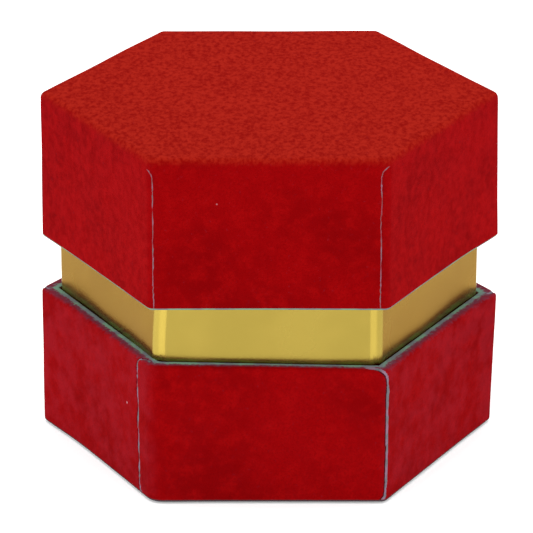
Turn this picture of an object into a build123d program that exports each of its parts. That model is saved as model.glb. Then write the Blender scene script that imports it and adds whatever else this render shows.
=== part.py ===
"""Hexagonal velvet ring box: a lift-off lid over a gold shoulder collar.

A rigid paperboard box in three shells.  The base and the lid are hexagonal trays of
greyboard panels under a velvet wrap.  A taller collar of board in gold foil paper is
glued inside the base and stands up into the lid, whose ceiling rests on its top edge,
so a gold band shows between the two velvet rims.  A split foam pad in velvet holds the
ring on edge in its slot, and a satin pad fills the lid.

Millimetres, +Z up.  The origin is the centre of the underside, the front panel faces
-Y, and two of the six corners lie on the X axis.
"""
from build123d import *
from math import cos, pi
import os

# ---- driving sizes: the outside ------------------------------------------------------
across_corners = 60.0        # over the velvet, corner to corner
base_height = 18.9           # underside to the base rim
gold_reveal = 8.4            # gold band between the two rims
lid_height = 19.9            # lid rim to the top of the lid

# ---- boards, papers and cloths -------------------------------------------------------
velvet = 0.3                 # velvet paper on lid, base and the collar's inside
foil = 0.15                  # gold foil paper, and the thin lining paper in the lid
tape = 0.1                   # corner tape
board = 1.2                  # top and bottom boards, base walls and collar walls
lid_wall_board = 1.0         # lid walls, thinner so that the lid slides over the collar
lid_clearance = 0.2          # each side, lid's turned-in velvet to the collar

corner_round = 1.5           # velvet over the upright corners
collar_round = 2.0           # foil over the collar's upright corners
top_round = 0.9              # velvet over the top edge of the lid
top_board_round = 0.6        # crushed upper edge of the lid's top board
rim_round = 0.6              # velvet over the outer edge of a rim
rim_inner_round = 0.4        # velvet over the inner edge of a rim
foot_round = 0.4             # velvet over the bottom edge of the base

base_turn_in = 12.0          # velvet turned in over the base rim
lid_turn_in = 9.0            # velvet turned in over the lid rim
under_turn_in = 9.0          # velvet turned under the bottom board
foil_turn_in = 8.0           # foil turned in over the collar's top edge
tape_leg = 6.0               # corner tape on each side of a corner

underside_sheet = 0.2        # the sheet that the box stands on
underside_inset = 1.5        # its edge, in from the velvet

# ---- ring pad and lid pad ------------------------------------------------------------
pad_card = 1.0               # card that the ring pad is built on
pad_top = 24.0               # top of the ring pad above the underside
pad_clearance = 0.15         # ring pad to the collar's lining
pad_velvet = 0.4             # velvet over the ring pad
pad_corner = 2.0             # upright corners of the ring pad
slot_width = 2.0             # ring slot between the two halves
slot_depth = 13.0            # ring slot below the top of the pad
slot_lip = 4.0               # rounding of each half into the slot

satin = 0.3                  # satin cover of the lid pad
lid_pad_card = 0.8
lid_pad_foam = 2.6
lid_pad_inset = 0.8          # lid pad to the inside of the collar
lid_pad_round = 1.2          # lower edge of the lid pad
lid_pad_corner = 2.0         # upright corners of the lid pad

# ---- worked out: widths, each from the centre to the middle of a side ----------------
flat = cos(pi / 6)           # centre to side, over centre to corner
outside = across_corners / 2 * flat
wall_outside = outside - velvet
base_wall_inside = wall_outside - board
base_inside = base_wall_inside - velvet
lid_wall_inside = wall_outside - lid_wall_board
lid_inside = lid_wall_inside - velvet
collar_outside = lid_inside - lid_clearance
collar_wall_outside = collar_outside - foil
collar_wall_inside = collar_wall_outside - board
collar_foil_inside = collar_wall_inside - foil
collar_inside = collar_wall_inside - velvet
ring_pad_outside = collar_inside - pad_clearance
lid_pad_outside = collar_foil_inside - lid_pad_inset
board_corner = corner_round - velvet
collar_board_corner = collar_round - foil

# ---- worked out: heights above the underside -----------------------------------------
total_height = base_height + gold_reveal + lid_height
wrap_bottom = underside_sheet
board_bottom = wrap_bottom + velvet
floor_level = board_bottom + board
base_wall_top = base_height - velvet
lid_rim = base_height + gold_reveal
lid_wall_bottom = lid_rim + velvet
top_board_top = total_height - velvet
lid_wall_top = top_board_top - board
ceiling = lid_wall_top - foil
collar_wall_top = ceiling - foil
foil_edge = ceiling - foil_turn_in
ring_pad_bottom = floor_level + pad_card
slot_bottom = pad_top - slot_depth
lid_pad_card_bottom = ceiling - lid_pad_card
lid_pad_foam_bottom = lid_pad_card_bottom - lid_pad_foam
lid_pad_bottom = lid_pad_foam_bottom - satin

panel_angles = {
    "front": -90,
    "front_right": -30,
    "back_right": 30,
    "back": 90,
    "back_left": 150,
    "front_left": 210,
}

os.makedirs("parts", exist_ok=True)


def hexagon(width, rounding=0.0, mode=Mode.ADD):
    """A hexagon with two corners on the X axis; width is from its centre to a side."""
    if rounding == 0.0:
        return RegularPolygon(radius=width / flat, side_count=6, mode=mode)
    core = RegularPolygon(radius=(width - rounding) / flat, side_count=6, mode=Mode.PRIVATE)
    return offset(core, amount=rounding, kind=Kind.ARC, mode=mode)


def save(piece, name):
    """Label a finished piece and write it as its own STEP file."""
    piece.part.label = name
    export_step(piece.part, f"parts/{name}.step")


def plate(width, rounding, bottom, top):
    """A flat hexagonal board, card or sheet."""
    with BuildPart() as piece:
        with BuildSketch(Plane.XY.offset(bottom)):
            hexagon(width, rounding)
        extrude(amount=top - bottom)
    return piece


def strip(width_out, width_in, bottom, top):
    """Paper or cloth that runs round the inside of six walls."""
    with BuildPart() as piece:
        with BuildSketch(Plane.XY.offset(bottom)):
            hexagon(width_out)
            hexagon(width_in, mode=Mode.SUBTRACT)
        extrude(amount=top - bottom)
    return piece


def wall_panel(width_out, rounding, width_in, bottom, top, angle):
    """One board of a six-sided wall, mitred at both ends, facing the given angle."""
    reach = 2 * width_out
    with BuildPart() as piece:
        with BuildSketch(Plane.XY.offset(bottom)):
            hexagon(width_out, rounding)
            hexagon(width_in, mode=Mode.SUBTRACT)
            with PolarLocations(radius=0, count=1, start_angle=angle):
                sector = [(0, 0), (reach * flat, -reach / 2), (reach * flat, reach / 2)]
                Polygon(*sector, align=None, mode=Mode.INTERSECT)
        extrude(amount=top - bottom)
    return piece


def corner_tapes(bottom, top):
    """Six bent strips of paper tape over the outside of the wall boards' corners."""
    with BuildPart() as piece:
        with BuildSketch(Plane.XY.offset(bottom)):
            with PolarLocations(radius=wall_outside / flat, count=6):
                Circle(tape_leg)
            hexagon(wall_outside + tape, board_corner + tape, mode=Mode.INTERSECT)
            hexagon(wall_outside, board_corner, mode=Mode.SUBTRACT)
        extrude(amount=top - bottom)
    return piece


# ---- base: boards, tapes, velvet and the sheet underneath ----------------------------
base_bottom_board = plate(wall_outside, board_corner, board_bottom, floor_level)
save(base_bottom_board, "base_bottom_board")

for side, angle in panel_angles.items():
    base_wall = wall_panel(
        wall_outside, board_corner, base_wall_inside, floor_level, base_wall_top, angle
    )
    save(base_wall, f"base_wall_{side}")

base_corner_tapes = corner_tapes(floor_level, base_wall_top)
save(base_corner_tapes, "base_corner_tapes")

with BuildPart() as base_velvet_wrap:
    with BuildSketch(Plane.XY.offset(wrap_bottom)):
        hexagon(outside, corner_round)
    extrude(amount=base_height - wrap_bottom)
    fillet(base_velvet_wrap.edges().group_by(Axis.Z)[-1], rim_round)
    fillet(base_velvet_wrap.edges().group_by(Axis.Z)[0], foot_round)
    with BuildSketch(Plane.XY.offset(board_bottom)):
        hexagon(wall_outside, board_corner)
    extrude(amount=base_wall_top - board_bottom, mode=Mode.SUBTRACT)
    with BuildSketch(Plane.XY.offset(base_height - base_turn_in)):
        hexagon(base_wall_inside)
    extrude(amount=base_turn_in - velvet)
    with BuildSketch(Plane.XY.offset(base_height - base_turn_in)):
        hexagon(base_inside)
    extrude(amount=base_turn_in, mode=Mode.SUBTRACT)
    with BuildSketch(Plane.XY.offset(wrap_bottom)):
        hexagon(outside - under_turn_in)
    extrude(amount=velvet, mode=Mode.SUBTRACT)
    base_mouth = base_velvet_wrap.faces().filter_by(Axis.Z).sort_by(Axis.Z)[-1]
    fillet(base_mouth.inner_wires().edges(), rim_inner_round)
    add(base_corner_tapes.part, mode=Mode.SUBTRACT)
save(base_velvet_wrap, "base_velvet_wrap")

base_underside_sheet = plate(outside - underside_inset, corner_round, 0, underside_sheet)
save(base_underside_sheet, "base_underside_sheet")


# ---- collar: six boards in foil paper, with a velvet lining inside -------------------
for side, angle in panel_angles.items():
    collar_wall = wall_panel(
        collar_wall_outside, collar_board_corner, collar_wall_inside, floor_level, collar_wall_top, angle
    )
    save(collar_wall, f"collar_wall_{side}")

with BuildPart() as collar_gold_wrap:
    with BuildSketch(Plane.XY.offset(floor_level)):
        hexagon(collar_outside, collar_round)
        hexagon(collar_wall_outside, collar_board_corner, mode=Mode.SUBTRACT)
    extrude(amount=ceiling - floor_level)
    with BuildSketch(Plane.XY.offset(collar_wall_top)):
        hexagon(collar_wall_outside, collar_board_corner)
        hexagon(collar_wall_inside, mode=Mode.SUBTRACT)
    extrude(amount=foil)
    with BuildSketch(Plane.XY.offset(foil_edge)):
        hexagon(collar_wall_inside)
        hexagon(collar_foil_inside, mode=Mode.SUBTRACT)
    extrude(amount=foil_turn_in)
save(collar_gold_wrap, "collar_gold_wrap")

collar_lining = strip(collar_wall_inside, collar_inside, floor_level, foil_edge)
save(collar_lining, "collar_lining")


# ---- ring pad: two foam blocks on a card, each under its own velvet ------------------
def ring_pad_half(skin, bottom, facing):
    """Half of the ring pad, drawn in by a skin; facing is -1 for the front, 1 for the rear."""
    far = outside * facing
    joint_y = skin * facing
    slot_y = (slot_width / 2 + skin) * facing
    slot_z = slot_bottom - skin
    top = pad_top - skin
    with BuildPart() as half:
        with BuildSketch(Plane.YZ) as profile:
            Polygon(
                (far, bottom), (joint_y, bottom), (joint_y, slot_z),
                (slot_y, slot_z), (slot_y, top), (far, top), align=None,
            )
            lip = profile.vertices().group_by(Axis.Y)[-1].sort_by(Axis.X)
            fillet(lip[-1 if facing < 0 else 0], slot_lip - skin)
        extrude(amount=across_corners / 2, both=True)
        with BuildSketch(Plane.XY.offset(bottom)):
            hexagon(ring_pad_outside - skin, pad_corner - skin)
        extrude(amount=top - bottom, mode=Mode.INTERSECT)
    return half


ring_pad_card = plate(
    ring_pad_outside - pad_velvet, pad_corner - pad_velvet, floor_level, ring_pad_bottom
)
save(ring_pad_card, "ring_pad_card")

for side, facing in {"front": -1, "rear": 1}.items():
    foam = ring_pad_half(pad_velvet, ring_pad_bottom, facing)
    save(foam, f"ring_pad_foam_{side}")
    with BuildPart() as cover:
        add(ring_pad_half(0.0, floor_level, facing).part)
        add(foam.part, mode=Mode.SUBTRACT)
        add(ring_pad_card.part, mode=Mode.SUBTRACT)
    save(cover, f"ring_pad_velvet_{side}")


# ---- lid: boards, tapes, velvet and linings ------------------------------------------
with BuildPart() as lid_top_board:
    with BuildSketch(Plane.XY.offset(lid_wall_top)):
        hexagon(wall_outside, board_corner)
    extrude(amount=board)
    fillet(lid_top_board.edges().group_by(Axis.Z)[-1], top_board_round)
save(lid_top_board, "lid_top_board")

for side, angle in panel_angles.items():
    lid_wall = wall_panel(
        wall_outside, board_corner, lid_wall_inside, lid_wall_bottom, lid_wall_top, angle
    )
    save(lid_wall, f"lid_wall_{side}")

lid_corner_tapes = corner_tapes(lid_wall_bottom, lid_wall_top)
save(lid_corner_tapes, "lid_corner_tapes")

with BuildPart() as lid_velvet_wrap:
    with BuildSketch(Plane.XY.offset(lid_rim)):
        hexagon(outside, corner_round)
    extrude(amount=lid_height)
    fillet(lid_velvet_wrap.edges().group_by(Axis.Z)[-1], top_round)
    fillet(lid_velvet_wrap.edges().group_by(Axis.Z)[0], rim_round)
    with BuildSketch(Plane.XY.offset(lid_wall_bottom)):
        hexagon(wall_outside, board_corner)
    extrude(amount=lid_wall_top - lid_wall_bottom, mode=Mode.SUBTRACT)
    add(lid_top_board.part, mode=Mode.SUBTRACT)
    with BuildSketch(Plane.XY.offset(lid_wall_bottom)):
        hexagon(lid_wall_inside)
    extrude(amount=lid_turn_in - velvet)
    with BuildSketch(Plane.XY.offset(lid_rim)):
        hexagon(lid_inside)
    extrude(amount=lid_turn_in, mode=Mode.SUBTRACT)
    lid_mouth = lid_velvet_wrap.faces().filter_by(Axis.Z).sort_by(Axis.Z)[0]
    fillet(lid_mouth.inner_wires().edges(), rim_inner_round)
    add(lid_corner_tapes.part, mode=Mode.SUBTRACT)
save(lid_velvet_wrap, "lid_velvet_wrap")

lid_ceiling_lining = plate(lid_wall_inside, 0.0, ceiling, lid_wall_top)
save(lid_ceiling_lining, "lid_ceiling_lining")

lid_wall_lining = strip(
    lid_wall_inside, lid_wall_inside - foil, lid_rim + lid_turn_in, ceiling
)
save(lid_wall_lining, "lid_wall_lining")


# ---- lid pad: card and foam under a satin cover --------------------------------------
lid_pad_card_plate = plate(
    lid_pad_outside - satin, lid_pad_corner - satin, lid_pad_card_bottom, ceiling
)
save(lid_pad_card_plate, "lid_pad_card")

lid_pad_foam_block = plate(
    lid_pad_outside - satin, lid_pad_corner - satin, lid_pad_foam_bottom, lid_pad_card_bottom
)
with BuildPart() as lid_pad_foam_piece:
    add(lid_pad_foam_block.part)
    fillet(lid_pad_foam_piece.edges().group_by(Axis.Z)[0], lid_pad_round - satin)
save(lid_pad_foam_piece, "lid_pad_foam")

with BuildPart() as lid_satin_cover:
    with BuildSketch(Plane.XY.offset(lid_pad_bottom)):
        hexagon(lid_pad_outside, lid_pad_corner)
    extrude(amount=ceiling - lid_pad_bottom)
    fillet(lid_satin_cover.edges().group_by(Axis.Z)[0], lid_pad_round)
    add(lid_pad_foam_piece.part, mode=Mode.SUBTRACT)
    add(lid_pad_card_plate.part, mode=Mode.SUBTRACT)
save(lid_satin_cover, "lid_satin_cover")
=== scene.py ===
import math

import bpy
import numpy as np
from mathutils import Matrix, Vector

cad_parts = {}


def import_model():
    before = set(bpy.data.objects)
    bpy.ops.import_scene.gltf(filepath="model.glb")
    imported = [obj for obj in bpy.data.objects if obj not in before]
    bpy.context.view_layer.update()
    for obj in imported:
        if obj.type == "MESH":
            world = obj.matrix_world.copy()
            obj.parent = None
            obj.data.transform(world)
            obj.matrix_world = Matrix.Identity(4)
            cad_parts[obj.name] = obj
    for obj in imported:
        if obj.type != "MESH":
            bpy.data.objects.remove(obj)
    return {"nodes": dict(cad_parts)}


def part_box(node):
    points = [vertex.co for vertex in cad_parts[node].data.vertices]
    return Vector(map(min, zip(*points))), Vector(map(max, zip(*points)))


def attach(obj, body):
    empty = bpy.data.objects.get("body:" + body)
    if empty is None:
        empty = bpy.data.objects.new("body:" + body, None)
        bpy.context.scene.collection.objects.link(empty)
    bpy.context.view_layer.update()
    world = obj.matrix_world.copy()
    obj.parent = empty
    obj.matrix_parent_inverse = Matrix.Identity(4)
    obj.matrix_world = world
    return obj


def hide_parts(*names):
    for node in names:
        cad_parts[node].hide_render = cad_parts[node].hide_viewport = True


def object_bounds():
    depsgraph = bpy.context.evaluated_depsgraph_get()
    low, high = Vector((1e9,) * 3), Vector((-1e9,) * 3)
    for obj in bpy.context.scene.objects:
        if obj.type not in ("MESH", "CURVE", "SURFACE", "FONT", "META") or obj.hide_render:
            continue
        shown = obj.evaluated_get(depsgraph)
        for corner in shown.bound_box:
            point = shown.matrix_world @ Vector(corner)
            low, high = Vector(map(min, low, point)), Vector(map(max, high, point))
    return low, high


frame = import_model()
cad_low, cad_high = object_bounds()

# A hexagonal ring box: a red velvet lid and base with a gold foil collar between them, a
# slotted velvet ring pad inside and a satin pad in the lid.  Places come from the frame.
# Corner 0 of each hexagon is on +X, and the corners and panels are counted
# counter-clockwise seen from above, so corners 4 and 5 are the front ones.

MM = 0.001
COS30 = math.cos(math.pi / 6)
SECTOR = math.pi / 3

base_low, base_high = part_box("base_velvet_wrap")
lid_low, lid_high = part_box("lid_velvet_wrap")
collar_low, collar_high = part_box("collar_gold_wrap")
lining_low, lining_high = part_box("collar_lining")
satin_low, satin_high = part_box("lid_satin_cover")
pad_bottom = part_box("ring_pad_foam_front")[0].z

outside = base_high.y              # centre to the middle of a side, over the velvet
collar_outside = collar_high.y
lining_outside = lining_high.y
satin_outside = satin_high.y
velvet_thick = 0.3 * MM
foil_thick = 0.15 * MM
base_wall = 1.8 * MM               # velvet, board and turned-in velvet
lid_wall = 1.6 * MM
collar_wall = 1.5 * MM
lid_turn_in = 9 * MM
under_turn_in = 9 * MM
foil_turn_in = 8 * MM


# ---- mesh tools ----------------------------------------------------------------------
def smooth(x, low, high):
    """0 at low, 1 at high, and a smooth step between."""
    t = np.clip((x - low) / (high - low), 0, 1)
    return t * t * (3 - 2 * t)


def ripple(points, wavelength, seed, waves=14):
    """Smooth seeded unevenness, about -1 to 1, of points in an array (..., axes)."""
    rng = np.random.default_rng(seed)
    total = np.zeros(points.shape[:-1])
    for _ in range(waves):
        direction = rng.normal(size=points.shape[-1])
        direction /= np.linalg.norm(direction)
        wave_number = 2 * math.pi / (wavelength * rng.uniform(0.6, 1.6))
        total += np.sin(points @ direction * wave_number + rng.uniform(0, 2 * math.pi))
    return total / math.sqrt(waves)


def merged(*runs, apart):
    """The sorted union of runs of numbers, without doubles nearer than apart."""
    values = np.sort(np.concatenate(runs))
    kept = [values[0]]
    for value in values[1:]:
        if value - kept[-1] > apart:
            kept.append(value)
    return np.array(kept)


def bend(centre_r, centre_z, radius, start, end, count):
    """Profile points on an arc, with angles in degrees from straight outward."""
    angles = np.radians(np.linspace(start, end, count))
    return [(centre_r + radius * math.cos(a), centre_z + radius * math.sin(a)) for a in angles]


class HexPath:
    """Columns round a hexagon with rounded corners.

    Each column has a nearest corner and an offset from it along the outline.  fine holds,
    for each corner, the stretch of offsets that gets closely spaced columns, or None."""

    def __init__(self, apothem, radii, fine, flat_step=1.0 * MM, fine_step=0.075 * MM):
        self.apothem = apothem
        corner, offset, radius = [], [], []
        for k, (corner_radius, stretch) in enumerate(zip(radii, fine)):
            arc_half = corner_radius * SECTOR / 2
            side_half = arc_half + (apothem - corner_radius) * math.tan(SECTOR / 2)
            runs = [
                np.linspace(-side_half, side_half, int(2 * side_half / flat_step)),
                np.linspace(-1, 1, 13) * arc_half,
            ]
            if stretch:
                runs.append(np.arange(stretch[0], stretch[1], fine_step))
            stations = merged(*runs, apart=0.5 * fine_step)[:-1]
            corner += [k] * len(stations)
            offset += list(stations)
            radius += [corner_radius] * len(stations)
        self.corner, self.offset, self.radius = map(np.array, (corner, offset, radius))
        arc_half = self.radius * SECTOR / 2
        side_half = arc_half + (apothem - self.radius) * math.tan(SECTOR / 2)
        turn = np.clip(self.offset / arc_half, -1, 1) * SECTOR / 2
        self.angle = self.corner * SECTOR + turn
        self.share = np.clip((np.abs(self.offset) - arc_half) / (side_half - arc_half), 0, 1)

    def sweep(self, profile, lift=0.0, least_radius=0.2 * MM):
        """Points (rows, columns, 3) of a profile of (apothem, z), moved out by lift."""
        apothem, z = profile[:, :1], profile[:, 1:2]
        radius = np.maximum(self.radius - (self.apothem - apothem), least_radius)
        radius = np.minimum(radius, apothem)
        reach = (apothem - radius) / COS30
        corner_angle = self.corner * SECTOR
        x = reach * np.cos(corner_angle) + radius * np.cos(self.angle)
        y = reach * np.sin(corner_angle) + radius * np.sin(self.angle)
        x += (apothem * np.cos(self.angle) - x) * self.share
        y += (apothem * np.sin(self.angle) - y) * self.share
        out, up = facing(profile)
        x += lift * out[:, None] * np.cos(self.angle)
        y += lift * out[:, None] * np.sin(self.angle)
        z = np.broadcast_to(z + lift * up[:, None], x.shape)
        return np.stack([x, y, z], -1)


def facing(profile):
    """The outward and upward parts of a profile's unit normal."""
    run = np.gradient(profile, axis=0)
    run /= np.maximum(np.linalg.norm(run, axis=1, keepdims=True), 1e-12)
    return run[:, 1], -run[:, 0]


def unrolled(profile):
    """Heights up a wall's outer face that go on round its bends by the way along them."""
    steps = np.linalg.norm(np.diff(profile, axis=0), axis=1)
    along = np.concatenate([[0], np.cumsum(steps)])
    wall = np.argmax(profile[:, 0])
    return along - along[wall] + profile[wall, 1]


def make_piece(name, points, faces, marks, material):
    """A smooth-shaded piece, with marks as numbers on its points."""
    mesh = bpy.data.meshes.new(name)
    mesh.from_pydata(points.reshape(-1, 3).tolist(), [], faces)
    for mark, values in marks.items():
        attribute = mesh.attributes.new(mark, "FLOAT", "POINT")
        attribute.data.foreach_set("value", np.asarray(values, np.float32).ravel())
    mesh.polygons.foreach_set("use_smooth", np.ones(len(mesh.polygons), bool))
    mesh.materials.append(material)
    mesh.update()
    piece = bpy.data.objects.new(name, mesh)
    bpy.context.scene.collection.objects.link(piece)
    return piece


def swept_piece(name, points, ring, material, **marks):
    """A closed piece from swept rows: a ring of rows, or rows whose ends close in a point."""
    rows, columns = points.shape[:2]
    here = np.arange(rows * columns).reshape(rows, columns)
    there = np.roll(here, -1, 1)
    above, above_there = np.roll(here, -1, 0), np.roll(there, -1, 0)
    quads = np.stack([here, there, above_there, above], -1)
    faces = quads[: rows if ring else rows - 1].reshape(-1, 4).tolist()
    marks = {
        mark: np.broadcast_to(values, (rows, columns)).ravel() for mark, values in marks.items()
    }
    flat = points.reshape(-1, 3)
    if not ring:
        first, last = rows * columns, rows * columns + 1
        flat = np.vstack([flat, points[0].mean(0), points[-1].mean(0)])
        faces += [(first, b, a) for a, b in zip(here[0].tolist(), there[0].tolist())]
        faces += [(last, a, b) for a, b in zip(here[-1].tolist(), there[-1].tolist())]
        marks = {mark: np.append(values, [values[0], values[-1]]) for mark, values in marks.items()}
    return make_piece(name, flat, faces, marks, material)


def install(piece, body, slot, *nodes):
    """The piece rides on a body and the CAD nodes it stands for are hidden; slot is not used."""
    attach(piece, body)
    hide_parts(*nodes)
    return piece


# ---- shader tools --------------------------------------------------------------------
def srgb(red, green, blue):
    """A linear colour from the usual 0 to 255 numbers."""
    def linear(c):
        c /= 255
        return c / 12.92 if c <= 0.04045 else ((c + 0.055) / 1.055) ** 2.4
    return (linear(red), linear(green), linear(blue), 1.0)


class Finish:
    """A node material in the making.  Each method adds a node and returns its output."""

    def __init__(self, name):
        self.material = bpy.data.materials.new(name)
        self.material.use_nodes = True
        self.tree = self.material.node_tree
        self.shader = self.tree.nodes["Principled BSDF"]
        self.place = self.node("ShaderNodeTexCoord").outputs["Object"]

    def node(self, kind, **settings):
        node = self.tree.nodes.new(kind)
        for key, value in settings.items():
            setattr(node, key, value)
        return node

    def feed(self, socket, value):
        if isinstance(value, bpy.types.NodeSocket):
            self.tree.links.new(value, socket)
        else:
            socket.default_value = value

    def noise(self, size, detail=2.0, roughness=0.5, stretch=(1, 1, 1)):
        """Noise from 0 to 1 whose features measure about size, drawn out by stretch."""
        mapping = self.node("ShaderNodeMapping")
        mapping.inputs["Scale"].default_value = [1 / s for s in stretch]
        self.feed(mapping.inputs["Vector"], self.place)
        node = self.node("ShaderNodeTexNoise")
        node.inputs["Scale"].default_value = 1 / size
        node.inputs["Detail"].default_value = detail
        node.inputs["Roughness"].default_value = roughness
        self.feed(node.inputs["Vector"], mapping.outputs["Vector"])
        return node.outputs["Fac"]

    def cells(self, size, output="Distance"):
        node = self.node("ShaderNodeTexVoronoi")
        node.inputs["Scale"].default_value = 1 / size
        self.feed(node.inputs["Vector"], self.place)
        return node.outputs[output]

    def mark(self, name):
        return self.node("ShaderNodeAttribute", attribute_name=name).outputs["Fac"]

    def step(self, value, low, high, to_low=0.0, to_high=1.0):
        node = self.node("ShaderNodeMapRange", interpolation_type="SMOOTHSTEP")
        numbers = (value, low, high, to_low, to_high)
        for key, number in zip(("Value", "From Min", "From Max", "To Min", "To Max"), numbers):
            self.feed(node.inputs[key], number)
        return node.outputs["Result"]

    def math(self, operation, a, b):
        node = self.node("ShaderNodeMath", operation=operation)
        self.feed(node.inputs[0], a)
        self.feed(node.inputs[1], b)
        return node.outputs[0]

    def mix(self, share, a, b):
        node = self.node("ShaderNodeMix", data_type="RGBA")
        for key, value in ((0, share), (6, a), (7, b)):
            self.feed(node.inputs[key], value)
        return node.outputs[2]

    def bump(self, height, distance, strength=1.0, below=None):
        node = self.node("ShaderNodeBump")
        node.inputs["Distance"].default_value = distance
        node.inputs["Strength"].default_value = strength
        self.feed(node.inputs["Height"], height)
        if below is not None:
            self.feed(node.inputs["Normal"], below)
        return node.outputs["Normal"]

    def done(self, **sockets):
        """Feeds the shader's sockets, named with _ for a space, and gives the material."""
        names = {s.name.lower().replace(" ", "_"): s for s in self.shader.inputs}
        for key, value in sockets.items():
            self.feed(names[key], value)
        return self.material


# ---- materials -----------------------------------------------------------------------
def velvet_nap(f, deep, main, warm):
    """Colour and normal of flocked nap: clouds, blotches and a fine grain."""
    cloud = f.noise(11 * MM, 2.0)
    blotch = f.noise(1.7 * MM, 3.0, 0.6)
    nap = f.noise(0.32 * MM, 3.0, 0.65)
    red = f.mix(f.step(cloud, 0.35, 0.65), deep, main)
    red = f.mix(f.step(blotch, 0.40, 0.72, 0.0, 0.7), red, warm)
    red = f.mix(f.step(nap, 0.34, 0.58, 0.55, 0.0), red, deep)
    normal = f.bump(nap, 0.05 * MM, 0.7, f.bump(blotch, 0.12 * MM, 0.4))
    return red, normal


def velvet_wrap():
    """Red velvet paper, with its bare backing where seams part and rims are worn."""
    f = Finish("red_velvet_paper")
    red, normal = velvet_nap(f, srgb(118, 2, 5), srgb(133, 3, 6), srgb(144, 6, 8))
    # painted sheen: panels given cool are painted a lighter purple-red, as velvet sheen seen at a
    # slant
    painted_sheen_clouds = f.step(f.noise(3.5 * MM, 5.0, 0.65), 0.36, 0.64, 0.1, 1.0)
    cool = f.math("MULTIPLY", f.mark("cool"), painted_sheen_clouds)
    red = f.mix(cool, red, srgb(148, 30, 42))
    # painted light: panels given warm are painted a brighter red, as sides that are lit more
    painted_side_light_clouds = f.step(f.noise(1.1 * MM, 5.0, 0.7), 0.34, 0.66)
    warm = f.math("MULTIPLY", f.mark("warm"), painted_side_light_clouds)
    red = f.mix(warm, red, srgb(162, 16, 20))
    # painted light: the lid's top is painted a brighter, more orange red, as a top lit more from
    # above, with its sheen
    top_grain = f.noise(0.5 * MM, 3.0, 0.6, (1, 1.7, 1))
    painted_top_light_red = f.mix(f.step(top_grain, 0.28, 0.68), srgb(122, 7, 4), srgb(148, 27, 16))
    uneven = f.math("MULTIPLY", f.math("SUBTRACT", top_grain, 0.5), 0.5)
    painted_top_light = f.math("ADD", f.mark("top"), uneven)
    red = f.mix(f.step(painted_top_light, 0.0, 0.95), red, painted_top_light_red)
    chosen = f.node("ShaderNodeSeparateColor")
    f.feed(chosen.inputs[0], f.cells(6 * MM, "Color"))
    speck = f.step(f.cells(6 * MM), 0.016, 0.034, 0.7, 0.0)
    lint = f.math("MULTIPLY", f.step(chosen.outputs[0], 0.90, 0.91), speck)
    red = f.mix(lint, red, srgb(196, 150, 160))
    ragged = f.noise(0.55 * MM, 4.0, 0.75)
    worn = f.math("SUBTRACT", f.mark("worn"), f.math("MULTIPLY", ragged, 0.9))
    red = f.mix(f.step(worn, -0.36, 0.04, 0.0, 0.9), red, srgb(106, 50, 68))
    teal, grey = srgb(112, 146, 128), srgb(108, 116, 122)
    backing = f.mix(f.step(f.noise(2.4 * MM, 2.0), 0.42, 0.58), teal, grey)
    red = f.mix(f.step(worn, 0.02, 0.26), red, backing)
    # painted shade: velvet facing down at the foot and under the box is painted dark grey, with
    # ragged edges
    foot = f.math("SUBTRACT", f.mark("foot"), f.math("MULTIPLY", ragged, 0.6))
    red = f.mix(f.step(foot, -0.1, 0.3), red, srgb(66, 62, 66))
    lilac, ash = srgb(132, 108, 126), srgb(104, 106, 112)
    pale = f.mix(f.step(f.noise(1.3 * MM, 2.0), 0.42, 0.6), lilac, ash)
    red = f.mix(f.step(f.mark("pale"), 0.25, 0.8), red, pale)
    # painted shade: the seams' gaps are painted a near-black red, as their shade
    red = f.mix(f.step(f.mark("dark"), 0.2, 0.8), red, srgb(58, 12, 22))
    red = f.mix(f.step(f.mark("shaded"), 0.0, 1.0), red, srgb(44, 14, 16))
    return f.done(
        base_color=red, roughness=0.95, normal=normal, specular_ior_level=0.0,
        sheen_weight=0.015, sheen_roughness=0.5, sheen_tint=(1.0, 0.6, 0.6, 1.0),
    )


def velvet_cloth(name, deep, main, warm):
    f = Finish(name)
    red, normal = velvet_nap(f, deep, main, warm)
    return f.done(
        base_color=red, roughness=0.9, normal=normal, specular_ior_level=0.1,
        sheen_weight=0.3, sheen_roughness=0.4, sheen_tint=(1.0, 0.55, 0.55, 1.0),
    )


def gold_foil():
    f = Finish("gold_foil_paper")
    drift = f.noise(8 * MM, 2.0)
    grain = f.noise(0.3 * MM, 2.0)
    gold = f.mix(f.step(drift, 0.35, 0.65), srgb(154, 134, 59), srgb(160, 139, 62))
    normal = f.bump(grain, 0.012 * MM, 0.5, f.bump(drift, 0.10 * MM, 0.5))
    roughness = f.step(drift, 0.3, 0.7, 0.22, 0.28)
    return f.done(base_color=gold, metallic=1.0, roughness=roughness, normal=normal)


def fibrous(name, plain, fleck, size, bump_depth, roughness=0.9, stretch=(1, 1, 1)):
    """Board, card or paper: soft clouds of colour, darker fibres and a matt surface."""
    f = Finish(name)
    cloud = f.noise(3 * MM, 3.0)
    fibre = f.noise(size, 4.0, 0.7, stretch)
    colour = f.mix(f.step(cloud, 0.3, 0.7, 0.0, 0.35), plain, fleck)
    colour = f.mix(f.step(fibre, 0.52, 0.70, 0.0, 0.6), colour, fleck)
    return f.done(
        base_color=colour, roughness=roughness, specular_ior_level=0.25,
        normal=f.bump(fibre, bump_depth, 0.6),
    )


def open_foam():
    f = Finish("open_cell_foam")
    cell = f.cells(0.7 * MM)
    colour = f.mix(f.step(cell, 0.1, 0.6), srgb(206, 200, 178), srgb(240, 236, 220))
    return f.done(base_color=colour, roughness=0.95, normal=f.bump(cell, 0.15 * MM, 0.7))


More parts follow.
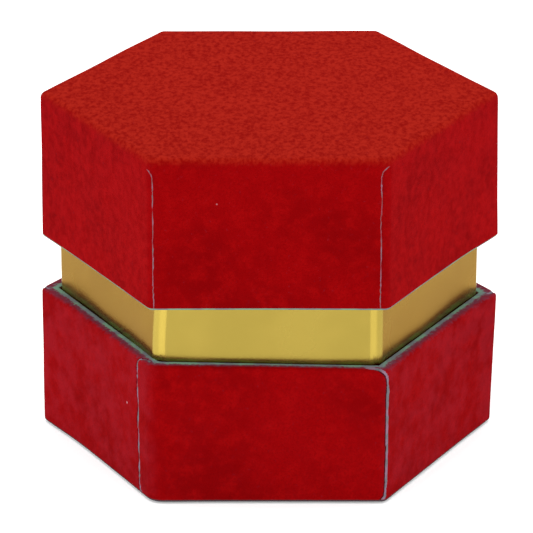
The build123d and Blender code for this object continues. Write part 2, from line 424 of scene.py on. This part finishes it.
def satin_cloth():
    f = Finish("ivory_satin")
    thread = f.noise(0.12 * MM, 2.0, 0.6, (9, 1, 1))
    drift = f.noise(6 * MM, 2.0)
    colour = f.mix(f.step(drift, 0.3, 0.7), srgb(226, 214, 190), srgb(240, 230, 208))
    colour = f.mix(f.step(thread, 0.35, 0.65, 0.25, 0.0), colour, srgb(200, 184, 152))
    return f.done(
        base_color=colour, roughness=f.step(thread, 0.3, 0.7, 0.30, 0.42),
        normal=f.bump(thread, 0.02 * MM, 0.5), specular_ior_level=0.6,
        sheen_weight=0.25, sheen_roughness=0.3, anisotropic=0.4,
    )


red_velvet = velvet_wrap()
lining_velvet = velvet_cloth("lining_velvet", srgb(112, 4, 10), srgb(130, 7, 13), srgb(146, 14, 18))
pad_velvet = velvet_cloth("pad_velvet", srgb(126, 4, 10), srgb(144, 8, 14), srgb(160, 16, 20))
gold = gold_foil()
foam = open_foam()
satin = satin_cloth()

stays = {  # finishes of the CAD nodes that stay, by material slot
    "greyboard": fibrous(
        "greyboard", srgb(158, 151, 140), srgb(118, 112, 104), 0.35 * MM, 0.05 * MM,
    ),
    "kraft_tape": fibrous(
        "kraft_tape", srgb(172, 136, 96), srgb(140, 106, 72), 0.3 * MM, 0.03 * MM, 0.75, (1, 1, 5),
    ),
    "underside_paper": fibrous(
        "underside_paper", srgb(36, 34, 37), srgb(58, 54, 58), 0.22 * MM, 0.05 * MM, 0.95,
    ),
    "lining_paper": fibrous(
        "lining_paper", srgb(233, 225, 206), srgb(216, 205, 182), 0.4 * MM, 0.02 * MM, 0.8,
    ),
    "pad_card": fibrous(
        "pad_card", srgb(208, 201, 186), srgb(186, 178, 162), 0.35 * MM, 0.03 * MM, 0.85,
    ),
}


# ---- seams, where the cut edge of one flap of velvet paper lies against the next ------
class Seam:
    """A seam beside a corner, as a line of (offset from the corner, height).

    owner is the side, -1 or 1, of the flap that is cut with rounded ends.  The pale strip of
    backing beside it is width wide, and the gap along one edge of the strip has painted shade."""

    def __init__(
        self, edge, owner, top, bottom, top_radius, bottom_radius, width, gap_at_owner, depth,
        fades, seed,
    ):
        turn = np.linspace(0, math.pi / 2, 14)
        away, along = 1 - np.sin(turn), 1 - np.cos(turn)
        upper = [edge + owner * top_radius * away, top - top_radius * along]
        lower = [edge + owner * bottom_radius * along, bottom + bottom_radius * away]
        heights = np.linspace(top - top_radius, bottom + bottom_radius, 30)[1:-1]
        middle = [np.full_like(heights, edge), heights]
        self.line = np.hstack([upper, middle, lower]).T
        self.line[:, 0] += 0.05 * MM * ripple(self.line[:, 1:], 6 * MM, seed)
        self.owner, self.width, self.gap_at_owner, self.depth = owner, width, gap_at_owner, depth
        self.fades, self.seed = fades, seed
        self.ragged = 1 if gap_at_owner or fades else 2.2
        ends = sorted([edge, edge + owner * max(top_radius, bottom_radius)])
        self.fine = (ends[0] - 0.7 * MM, ends[1] + 0.7 * MM)

    def across(self, offset, height):
        """Distance from the line, negative on the owner's side, and distance along it."""
        nearest, signed, place = (np.full(offset.shape, v) for v in (1.0, 1.0, 0.0))
        run = 0.0
        for (x0, z0), (x1, z1) in zip(self.line[:-1], self.line[1:]):
            dx, dz = x1 - x0, z1 - z0
            length = math.hypot(dx, dz)
            t = np.clip(((offset - x0) * dx + (height - z0) * dz) / length**2, 0, 1)
            x, z = offset - x0 - t * dx, height - z0 - t * dz
            far = np.hypot(x, z)
            nearer = far < nearest
            signed = np.where(nearer, far * np.sign(dx * z - dz * x) * -self.owner, signed)
            place = np.where(nearer, run + t * length, place)
            nearest = np.minimum(nearest, far)
            run += length
        return signed, place

    def relief(self, offset, height):
        """Lift, pale backing and painted gap shade at points on the outer face."""
        q, place = self.across(offset, height)
        where = np.stack([offset, height], -1)
        wander = 0.03 * ripple(where, 0.6 * MM, self.seed + 1)
        wander += 0.015 * ripple(where, 0.25 * MM, self.seed + 2)
        q = q / MM + wander * self.ragged
        width = self.width / MM * (1 + 0.2 * ripple(where[..., 1:], 3 * MM, self.seed + 3))
        shown = smooth(place, 0, 0.9 * MM) if self.fades else np.ones(q.shape)
        if not self.gap_at_owner:
            q = width - q
        lift = np.interp(q, [-0.45, -0.2, -0.12, -0.03, 0.05], [0, 0.0, -0.16, -0.18, -0.09])
        lift = np.where(q > 0.05, -0.09 * (1 - smooth(q - width, -0.06, 0.14)), lift)
        pale = smooth(q, -0.02, 0.06) * (1 - smooth(q - width, -0.05, 0.05))
        # painted shade of the gap, beside the pale strip
        dark = smooth(q, -0.19, -0.12) * (1 - smooth(q, -0.03, 0.04))
        bites = smooth(ripple(where, 0.9 * MM, self.seed + 4), -0.6, 0.8)
        bitten = (self.ragged - 1) * 0.45 * bites
        pale *= (1 - bitten) * (0.72 if self.fades else 1.0)
        return lift * shown * self.depth * MM, pale * shown, dark * shown * self.depth


def seam_relief(path, profile, seams, face_rows):
    """Lift, pale and painted gap shade over a whole swept piece, from the seam beside each corner.
    """
    reach = 4 * MM
    shape = (len(profile), len(path.offset))
    results = [np.zeros(shape) for _ in range(3)]
    for k, seam in enumerate(seams):
        near = np.abs(path.offset - np.mean(seam.fine)) < reach
        columns = np.where((path.corner == k) & near)[0]
        offset, height = np.meshgrid(path.offset[columns], unrolled(profile)[face_rows])
        for result, values in zip(results, seam.relief(offset, height)):
            result[np.ix_(face_rows, columns)] = values
    return results


def panel_values(path, values):
    """A value for each column from six for the panels, run together at the corners."""
    before, after = np.take(values, (path.corner - 1) % 6), np.take(values, path.corner)
    return before + (after - before) * smooth(path.offset, -1.2 * MM, 1.2 * MM)


def wrap_piece(
    name, path, profile, seams, face_rows, leans, rim_drop, ring, cool, warm, marks,
):
    """Velvet paper swept round a shell.

    leans holds how far each corner stands proud at the lowest and highest row, rim_drop how
    much lower the upper rim is at each corner, and cool and warm paint light on each
    panel: a painted sheen and painted brighter sides."""
    lift, pale, dark = seam_relief(path, profile, seams, face_rows)
    depth = outside - profile[:, 0]
    seen = np.zeros(len(profile))
    seen[face_rows] = 1
    flat_points = path.sweep(profile)
    lift += 0.035 * MM * ripple(flat_points, 16 * MM, 5) * seen[:, None]
    points = path.sweep(profile, lift)
    follow = 1 - smooth(depth, 0.5 * MM, 1.5 * MM)
    height = (profile[:, 1] - profile[:, 1].min()) / np.ptp(profile[:, 1])
    for k, (low, high) in enumerate(leans):
        near = np.exp(-((path.offset / (6 * MM)) ** 2)) * (path.corner == k)
        shift = (follow * (low + (high - low) * height) * MM)[:, None] * near
        points[..., 0] += shift * math.cos(k * SECTOR)
        points[..., 1] += shift * math.sin(k * SECTOR)
    middles = [(rim_drop[k] + rim_drop[(k + 1) % 6]) / 2 for k in range(6)]
    here = np.take(rim_drop, path.corner)
    before, after = np.take(middles, (path.corner - 1) % 6), np.take(middles, path.corner)
    middle = np.where(path.offset < 0, before, after)
    drop = here + (middle - here) * path.share
    points[..., 2] -= smooth(height, 0.55, 1.0)[:, None] * drop * MM
    # painted light per panel: cool is a painted sheen, and warm paints panels brighter
    marks["cool"] = panel_values(path, cool)
    marks["warm"] = panel_values(path, warm)
    marks = {key: np.broadcast_to(values, points.shape[:2]) for key, values in marks.items()}
    return swept_piece(name, points, ring, red_velvet, pale=pale, dark=dark, **marks)


# ---- base: velvet --------------------------------------------------------------------
def base_velvet():
    """The base's velvet: under the box, up the wall, over the rim and down inside."""
    top, bottom = base_high.z, base_low.z
    plans = [  # edge, owner, top and bottom rounding, strip width, gap beside the owner, depth
        (1.3, -1, 1.9, 1.6, 0.34, True, 0.8), (-0.8, 1, 1.6, 1.9, 0.30, True, 0.7),
        (2.2, -1, 2.2, 1.7, 0.38, True, 0.9), (-1.1, 1, 1.8, 1.5, 0.32, True, 0.7),
        (-3.2, 1, 1.6, 1.4, 0.34, False, 0.6), (0.02, -1, 2.2, 1.3, 0.40, True, 1.0),
    ]
    seams = [
        Seam(
            edge * MM, owner, top + 0.42 * MM, bottom + 0.1 * MM, r_top * MM, r_low * MM,
            wide * MM, gap, depth, False, 10 * k,
        )
        for k, (edge, owner, r_top, r_low, wide, gap, depth) in enumerate(plans)
    ]
    radii = [radius * MM for radius in (1.3, 1.6, 1.5, 1.4, 2.4, 1.1)]
    path = HexPath(outside, radii, [seam.fine for seam in seams])
    foot, rim, lip = 0.45 * MM, 0.5 * MM, 0.25 * MM
    inner, back = outside - base_wall, outside - velvet_thick
    near_edge = np.concatenate([np.arange(0, 2.4, 0.1), np.arange(2.4, 4, 0.25)]) * MM
    middle = np.arange(bottom + 4 * MM, top - 4 * MM, 0.6 * MM)
    face = merged(bottom + foot + near_edge, middle, top - rim - near_edge, apart=0.04 * MM)
    profile = [(outside - d * MM, bottom) for d in (9, 5, 2.5, 1.2)]
    profile += bend(outside - foot, bottom + foot, foot, -90, 0, 7)[:-1]
    start = len(profile)
    profile += [(outside, z) for z in face]
    profile += bend(outside - rim, top - rim, rim, 0, 90, 10)[1:]
    profile += [(outside - d * MM, top) for d in (0.6, 0.75, 0.9, 1.05, 1.2, 1.35, 1.45)]
    face_rows = np.arange(start, len(profile) - 2)
    profile += bend(inner + lip, top - lip, lip, 90, 180, 7)
    rim_end = len(profile)
    profile += [(inner, top - d * MM) for d in (0.8, 1.5, 3, 6, 9, 12)]
    profile += [(inner + velvet_thick, top - d * MM) for d in (12, 6, 0.3)]
    profile += [(back, top - d * MM) for d in (0.3, 2, 6, 12)]
    profile += [(back, bottom + velvet_thick), (outside - 5 * MM, bottom + velvet_thick)]
    profile += [(outside - under_turn_in, bottom + velvet_thick)]
    profile = np.array(profile)
    up = facing(profile)[1]
    low = profile[:, 1] < bottom + 1 * MM
    way_up = unrolled(profile)
    from_lip = (way_up[rim_end - 4] - way_up)[:, None] / MM
    fade = panel_values(path, (2.1, 1.9, 1.8, 2.0, 1.45, 2.1))
    bare = smooth(from_lip, -0.15, 0.15)
    worn = bare * np.interp(from_lip, [0.3, 0.75], [1.0, 0.5])
    worn = worn * (1 - np.clip((from_lip - 0.85) / (fade - 0.85), 0, 1))
    outward = (np.arange(len(profile)) < rim_end + 4)[:, None]
    shaded = 0.7 * (1 - smooth(from_lip, -0.1, 0.2)) * outward
    piece = wrap_piece(
        "base_velvet", path, profile, seams, face_rows,
        leans=[(0.1, 0.6), (0.1, 0.2), (0.2, 0.1), (0.6, 0.5), (0.1, 0.2), (0.0, 0.2)],
        rim_drop=[0.12, 0.0, -0.4, -0.6, -0.38, 0.15], ring=True,
        # cool and warm are painted light per panel: sheen on panels seen at a slant, brighter sides
        cool=[0.30, 0.10, 0.20, 0.42, 0.02, 0.36], warm=[0.1, 0.1, 0.1, 0.12, 0.0, 0.0],
        marks={
            "worn": worn,
            "shaded": shaded,
            # painted shade on the rows that face down at the foot and underneath
            "foot": (smooth(-up, 0.05, 0.45) * low)[:, None],
            "top": 0.0,
        },
    )
    install(piece, "base", "red_velvet", "base_velvet_wrap")


# ---- lid: velvet ---------------------------------------------------------------------
def lid_velvet():
    """The lid's velvet: over the top, down the wall, round the rim and up inside."""
    top, rim_z = lid_high.z, lid_low.z - 0.3 * MM
    plans = [  # edge, owner, its start below the top, roundings, strip width, gap beside the owner
        (0.8, -1, 0.9, 1.3, 0.4, 0.18, False), (-0.5, 1, 1.2, 1.2, 0.5, 0.20, True),
        (0.6, -1, 0.8, 1.4, 0.4, 0.16, False), (-0.7, 1, 1.1, 1.1, 0.5, 0.18, True),
        (0.38, -1, 1.3, 1.3, 0.35, 0.15, False), (-0.85, 1, 0.9, 1.5, 0.35, 0.15, True),
    ]
    seams = [
        Seam(
            edge * MM, owner, top - start * MM, rim_z + 0.1 * MM, r_top * MM, r_low * MM,
            wide * MM, gap, 0.4, True, 100 + 10 * k,
        )
        for k, (edge, owner, start, r_top, r_low, wide, gap) in enumerate(plans)
    ]
    radii = [radius * MM for radius in (1.1, 1.2, 1.2, 1.1, 1.0, 1.0)]
    path = HexPath(outside, radii, [seam.fine for seam in seams])
    edge, rim, lip = 0.9 * MM, 0.32 * MM, 0.4 * MM
    inner, back = outside - lid_wall, outside - velvet_thick
    near_edge = np.concatenate([np.arange(0, 1.6, 0.1), np.arange(1.6, 4, 0.3)]) * MM
    middle = np.arange(rim_z + 4 * MM, top - 4 * MM, 0.6 * MM)
    face = merged(rim_z + rim + near_edge, middle, top - edge - near_edge, apart=0.04 * MM)
    profile = [(d * MM, top - velvet_thick) for d in (1, 12, 22)]
    profile += bend(outside - edge, top - edge, edge - velvet_thick, 90, 0, 6)
    profile += [(back, z) for z in (top - 4 * MM, top - 12 * MM, rim_z + velvet_thick)]
    profile += [(inner + velvet_thick, rim_z + rise) for rise in (velvet_thick, lid_turn_in)]
    profile += [(inner, rim_z + d * MM) for d in (9, 6, 3, 1.5, 0.8)]
    profile += bend(inner + lip, rim_z + lip, lip, 180, 270, 7)
    profile += [(outside - d * MM, rim_z) for d in (1.1, 0.9, 0.7)]
    profile += bend(outside - rim, rim_z + rim, rim, -90, 0, 10)[:-1]
    start = len(profile)
    profile += [(outside, z) for z in face]
    profile += bend(outside - edge, top - edge, edge, 0, 90, 14)[1:]
    face_rows = np.arange(start, len(profile))
    profile += [(outside - d * MM, top) for d in (1.6, 2.2, 3)]
    profile += [(r * MM, top) for r in np.arange(22, 0.5, -1.0)]
    profile = np.array(profile)
    up = facing(profile)[1]
    low = profile[:, 1] < rim_z + 1 * MM
    # painted light: the top and the roll of its edge are marked to be painted a brighter orange-red
    painted_top_light = smooth(unrolled(profile), top - 1.3 * MM, top + 0.5 * MM)
    painted_top_light *= np.arange(len(profile)) >= start
    piece = wrap_piece(
        "lid_velvet", path, profile, seams, face_rows,
        leans=[(0.5, 0.1), (0.1, 0.0), (0.2, -0.1), (0.2, 0.0), (0.1, 0.0), (0.1, 0.0)],
        # cool and warm are painted light per panel, with none on the front panel
        rim_drop=[0] * 6, ring=False, cool=[0.10, 0.08, 0.10, 0.04, 0.0, 0.04],
        warm=[0.36, 0.2, 0.3, 0.42, 0.0, 0.34],
        marks={
            "worn": (smooth(-up, 0.0, 0.22) * low)[:, None],
            "shaded": 0.0,
            "foot": 0.0,
            "top": painted_top_light[:, None],
        },
    )
    install(piece, "lid", "red_velvet", "lid_velvet_wrap")


# ---- collar: gold foil outside, velvet inside ------------------------------------------
def collar_foil():
    """Gold foil up the collar's outside, over its edge and a little way down inside."""
    top, bottom = collar_high.z, collar_low.z
    radii = [radius * MM for radius in (1.2, 1.8, 1.8, 1.4, 2.0, 2.0)]
    path = HexPath(collar_outside, radii, [(-1.6 * MM, 1.6 * MM)] * 6, flat_step=0.8 * MM)
    edge = 0.3 * MM
    inner = collar_outside - collar_wall
    profile = [(collar_outside, z) for z in np.linspace(bottom, top - edge, 50)]
    start = len(profile)
    profile += bend(collar_outside - edge, top - edge, edge, 0, 90, 6)[1:]
    profile += bend(inner + edge, top - edge, edge, 90, 180, 6)
    profile += [(inner, z) for z in np.linspace(top - 1 * MM, top - foil_turn_in, 8)]
    profile += [(inner + foil_thick, z) for z in (top - foil_turn_in, top - foil_thick)]
    profile += [(collar_outside - foil_thick, z) for z in (top - foil_thick, bottom)]
    profile = np.array(profile)
    flat_points = path.sweep(profile)
    lap = (path.corner == 1) * smooth(path.offset, 5.9 * MM, 6.1 * MM)
    lap = lap * (1 - smooth(path.offset, 8 * MM, 14 * MM))
    fold = np.maximum(1 - (path.offset / (path.radius * SECTOR / 2)) ** 2, 0)
    lift = 0.02 * MM * ripple(flat_points, 12 * MM, 31) + 0.10 * MM * lap - 0.055 * MM * fold
    lift *= (np.arange(len(profile)) < start)[:, None]
    points = path.sweep(profile, lift)
    below_lid = (1 - smooth(points[..., 2], 20.5 * MM, 28 * MM)) * (path.corner == 4)
    points[..., 0] -= 0.35 * MM * below_lid * np.exp(-((path.offset / (6 * MM)) ** 2))
    cut = np.isclose(profile[:, 1], top - foil_turn_in) & (profile[:, 0] < inner + 0.2 * MM)
    points[..., 2] += cut[:, None] * 0.12 * MM * ripple(flat_points[..., :2], 9 * MM, 32)
    piece = swept_piece("collar_gold_foil", points, True, gold)
    install(piece, "base", "gold_foil_paper", "collar_gold_wrap")


def collar_velvet():
    """The velvet strip that lines the collar, with its seam at the back left."""
    top, bottom = lining_high.z, lining_low.z
    path = HexPath(lining_outside, [0.8 * MM] * 6, [None] * 6)
    inner, soft = lining_outside - velvet_thick, 0.14 * MM
    profile = bend(inner + soft, top - soft, soft, 90, 180, 5)
    profile += [(inner, z) for z in np.linspace(top - 0.5 * MM, bottom, 40)]
    profile += [(lining_outside, z) for z in np.linspace(bottom, top, 8)]
    profile = np.array(profile)
    flat_points = path.sweep(profile)
    seen = profile[:, 0] < lining_outside - 0.2 * MM
    seam = (path.corner == 2) * np.exp(-(((path.offset - 3 * MM) / (0.35 * MM)) ** 2))
    lift = (0.04 * MM * ripple(flat_points, 10 * MM, 41) - 0.16 * MM * seam) * seen[:, None]
    points = path.sweep(profile, lift)
    piece = swept_piece("collar_velvet_lining", points, True, lining_velvet)
    install(piece, "base", "lining_velvet", "collar_lining")


# ---- satin pad in the lid -------------------------------------------------------------
def satin_profile(skin):
    """Half the section of the satin pad, skin inside its face, from its crown to its back."""
    top, bottom = satin_high.z, satin_low.z
    reach = satin_outside - 0.15 * MM - skin
    crown, turn_in, shoulder = 1.5 * MM, 1.2 * MM, 0.93
    shares = np.linspace(0.03, shoulder, 30)
    profile = [(share * reach, bottom + skin + crown * share**4) for share in shares]
    side = bottom + skin + crown * shoulder**4
    for angle in np.linspace(0, math.pi / 2, 9)[1:]:
        out = reach * (shoulder + (1 - shoulder) * math.sin(angle))
        profile.append((out, side + turn_in * (1 - math.cos(angle))))
    profile += [(r, top - skin) for r in (reach, reach - 0.4 * MM, reach / 2, 0.03 * reach)]
    return np.array(profile)


def satin_pad(name, skin, material, slot, node):
    """A crowned pad, or its foam, with small creases drawn to the corners."""
    path = HexPath(satin_outside, [2.6 * MM] * 6, [None] * 6, flat_step=0.6 * MM)
    profile = satin_profile(skin)
    flat_points = path.sweep(profile)
    crease = np.cos(path.offset / MM * 2.4 + 3 * path.corner)
    crease *= np.exp(-((path.offset / (3.5 * MM)) ** 2))
    near_edge = smooth(profile[:, :1] / satin_outside, 0.6, 0.95)
    below = profile[:, 1] < satin_high.z - 1.5 * MM
    lift = 0.14 * MM * crease * near_edge + 0.08 * MM * ripple(flat_points, 12 * MM, 51)
    piece = swept_piece(name, path.sweep(profile, lift * below[:, None]), False, material)
    install(piece, "lid", slot, node)


# ---- ring pad -------------------------------------------------------------------------
def in_the_collar(points, room):
    """Keeps points inside a hexagon of the given apothem."""
    for k in range(6):
        angle = (k + 0.5) * SECTOR
        normal = np.array([math.cos(angle), math.sin(angle), 0])
        over = np.maximum(points @ normal - room, 0)
        points = points - over[:, None] * normal
    return points


def ring_pad(side, facing_y):
    """One half of the ring pad: its foam block covered in velvet, swelled as cloth.

    The cloth is simulated at 20 times the size, where its settings are steady."""
    scale = 20
    reach, pad_top, slot_floor = 22.4 * MM, 24.3 * MM, 11 * MM
    source = frame["nodes"][f"ring_pad_foam_{side}"]
    mesh = source.data.copy()
    mesh.name = f"ring_pad_{side}"
    pad = bpy.data.objects.new(mesh.name, mesh)
    bpy.context.scene.collection.objects.link(pad)
    mesh.materials.clear()
    set_points(pad, points_of(pad) * scale)
    remesh = pad.modifiers.new("Remesh", "REMESH")
    remesh.mode, remesh.voxel_size = "VOXEL", 0.9 * MM * scale
    soften = pad.modifiers.new("Soften", "SMOOTH")
    soften.factor, soften.iterations = 0.5, 10
    apply_modifiers(pad)
    rest = points_of(pad)
    edge = 22.0 * MM * scale - hex_reach(rest)
    high = smooth(rest[:, 2], 14 * MM * scale, 23 * MM * scale)
    rest[:, 2] -= 1.1 * MM * scale * high * (1 - smooth(edge, 0, 6 * MM * scale))
    set_points(pad, rest)
    cloth = pad.modifiers.new("Cloth", "CLOTH")
    cloth.settings.use_pressure = True
    cloth.settings.uniform_pressure_force = 4
    cloth.settings.effector_weights.gravity = 0
    cloth.settings.tension_stiffness = cloth.settings.compression_stiffness = 12
    cloth.point_cache.frame_start, cloth.point_cache.frame_end = 1, 20
    for number in range(1, 21):
        bpy.context.scene.frame_set(number)
    apply_modifiers(pad)
    bpy.context.scene.frame_set(1)
    moved = points_of(pad)
    way = moved - rest
    size = np.linalg.norm(way, axis=1, keepdims=True)
    way *= np.minimum(1, 0.6 * MM * scale / np.maximum(size, 1e-9))
    co = (rest + way) / scale
    subdivide = pad.modifiers.new("Subdivide", "SUBSURF")
    set_points(pad, co)
    subdivide.levels = subdivide.render_levels = 1
    apply_modifiers(pad)
    co = points_of(pad)
    lip = np.exp(-(((np.abs(co[:, 1]) - 2.5 * MM) / (3 * MM)) ** 2))
    lip *= smooth(co[:, 2], 16 * MM, 22 * MM)
    co[:, 2] += 0.10 * MM * lip * ripple(co[:, :2], 5 * MM, 61)
    co = in_the_collar(co, reach)
    gap = np.where(co[:, 2] > slot_floor, 0.85 * MM, 0.12 * MM)
    co[:, 1] = facing_y * np.maximum(facing_y * co[:, 1], gap)
    co[:, 2] = np.clip(co[:, 2], pad_bottom, pad_top)
    set_points(pad, co)
    finish_pad(pad, f"ring_pad_velvet_{side}", pad_velvet, "pad_velvet")
    core = bpy.data.objects.new(f"ring_pad_core_{side}", pad.data.copy())
    bpy.context.scene.collection.objects.link(core)
    normals = np.zeros(len(core.data.vertices) * 3)
    core.data.vertices.foreach_get("normal", normals)
    set_points(core, co - 0.4 * MM * normals.reshape(-1, 3))
    finish_pad(core, f"ring_pad_foam_{side}", foam, "foam")


def finish_pad(piece, node, material, slot):
    piece.data.materials.clear()
    piece.data.materials.append(material)
    piece.data.polygons.foreach_set("use_smooth", np.ones(len(piece.data.polygons), bool))
    install(piece, "base", slot, node)


def hex_reach(points):
    """How far out points are, as the apothem of the hexagon through each."""
    angles = (np.arange(6) + 0.5) * SECTOR
    return (points[:, :2] @ np.array([np.cos(angles), np.sin(angles)])).max(1)


def points_of(piece):
    co = np.zeros(len(piece.data.vertices) * 3)
    piece.data.vertices.foreach_get("co", co)
    return co.reshape(-1, 3)


def set_points(piece, co):
    piece.data.vertices.foreach_set("co", np.ascontiguousarray(co, np.float32).ravel())
    piece.data.update()


def apply_modifiers(piece):
    depsgraph = bpy.context.evaluated_depsgraph_get()
    mesh = bpy.data.meshes.new_from_object(piece.evaluated_get(depsgraph))
    piece.modifiers.clear()
    piece.data = mesh


# ---- the stage ------------------------------------------------------------------------
def pale_floor():
    bpy.ops.mesh.primitive_plane_add(size=4)
    floor = bpy.context.object
    floor.name = "floor"
    f = Finish("pale_floor")
    floor.data.materials.append(f.done(
        base_color=(0.93, 0.93, 0.93, 1), roughness=0.9, specular_ior_level=0.0,
        emission_color=(1, 1, 1, 1), emission_strength=0.25,
    ))


def soft_light(name, place, target, size, power, colour=(1, 1, 1)):
    lamp = bpy.data.lights.new(name, "AREA")
    lamp.shape, lamp.size, lamp.energy, lamp.color = "DISK", size, power, colour
    light = bpy.data.objects.new(name, lamp)
    light.location = place
    light.rotation_euler = (Vector(target) - Vector(place)).to_track_quat("-Z", "Y").to_euler()
    bpy.context.scene.collection.objects.link(light)


def mirrored_card(name, side, first, last, near, far, colour, glow):
    """A card on the floor, fanned about a front corner of the collar and seen only in the gold.

    first and last are degrees from straight ahead, and near and far the card's reach."""
    steps = 12
    corner = Vector((side * collar_outside / COS30 / 2, -collar_outside, 0.5 * MM))
    turns = [math.radians(a) for a in np.linspace(first, last, steps)]
    points = [
        corner + reach * Vector((side * math.sin(turn), -math.cos(turn), 0))
        for reach in (near, far) for turn in turns
    ]
    mesh = bpy.data.meshes.new(name)
    faces = [(k, k + 1, k + 1 + steps, k + steps) for k in range(steps - 1)]
    mesh.from_pydata(points, [], faces)
    f = Finish(name)
    mesh.materials.append(f.done(
        base_color=colour, roughness=1.0, specular_ior_level=0.0,
        emission_color=(1, 1, 1, 1), emission_strength=glow,
    ))
    card = bpy.data.objects.new(name, mesh)
    bpy.context.scene.collection.objects.link(card)
    card.visible_camera = card.visible_shadow = card.visible_diffuse = False


def camera():
    elevation = math.radians(21.8)
    back = Vector((0, -math.cos(elevation), math.sin(elevation)))
    right = Vector((1, 0, 0))
    up = right.cross(-back)
    centre = (cad_low + cad_high) / 2 + Vector((0, 0, 0.3 * MM))
    target = centre - right * 0.32 * MM - up * 1.29 * MM
    view = bpy.data.cameras.new("camera")
    view.sensor_width, view.lens = 36, 238.5
    view.clip_start, view.clip_end = 0.01, 20
    holder = bpy.data.objects.new("camera", view)
    holder.location = centre + back * 0.470
    holder.rotation_euler = (target - holder.location).to_track_quat("-Z", "Y").to_euler()
    bpy.context.scene.collection.objects.link(holder)
    bpy.context.scene.camera = holder


def world(strength):
    surroundings = bpy.data.worlds.new("studio")
    surroundings.use_nodes = True
    background = surroundings.node_tree.nodes["Background"]
    background.inputs["Color"].default_value = (1, 1, 1, 1)
    background.inputs["Strength"].default_value = strength
    bpy.context.scene.world = surroundings


base_velvet()
lid_velvet()
collar_foil()
collar_velvet()
satin_pad("lid_satin_pad", 0.0, satin, "ivory_satin", "lid_satin_cover")
satin_pad("lid_pad_foam_core", 0.35 * MM, foam, "foam", "lid_pad_foam")
ring_pad("front", -1)
ring_pad("rear", 1)

for node in frame["nodes"].values():
    for slot in node.material_slots:
        for key, material in stays.items():
            if slot.material and slot.material.name.startswith(key):
                slot.material = material

camera()
world(1.19)
pale_floor()
soft_light("top", (0, 0, 0.9), (0, 0, 0.02), 0.8, 3.0)
for side, where, bright, half in ((-1, "left", 2.6, 2.1), (1, "right", 2.3, 1.65)):
    black, tan = srgb(0, 0, 0), srgb(224, 194, 160)
    mirrored_card(f"{where}_bright_card", side, 14, 58, 25 * MM, 130 * MM, black, bright)
    mirrored_card(f"{where}_half_card", side, 58, 104, 25 * MM, 130 * MM, black, half)
    mirrored_card(f"{where}_warm_card", side, 108, 150, 10 * MM, 110 * MM, tan, 0.0)
bpy.context.scene.view_settings.view_transform = "Standard"

bpy.context.view_layer.update()
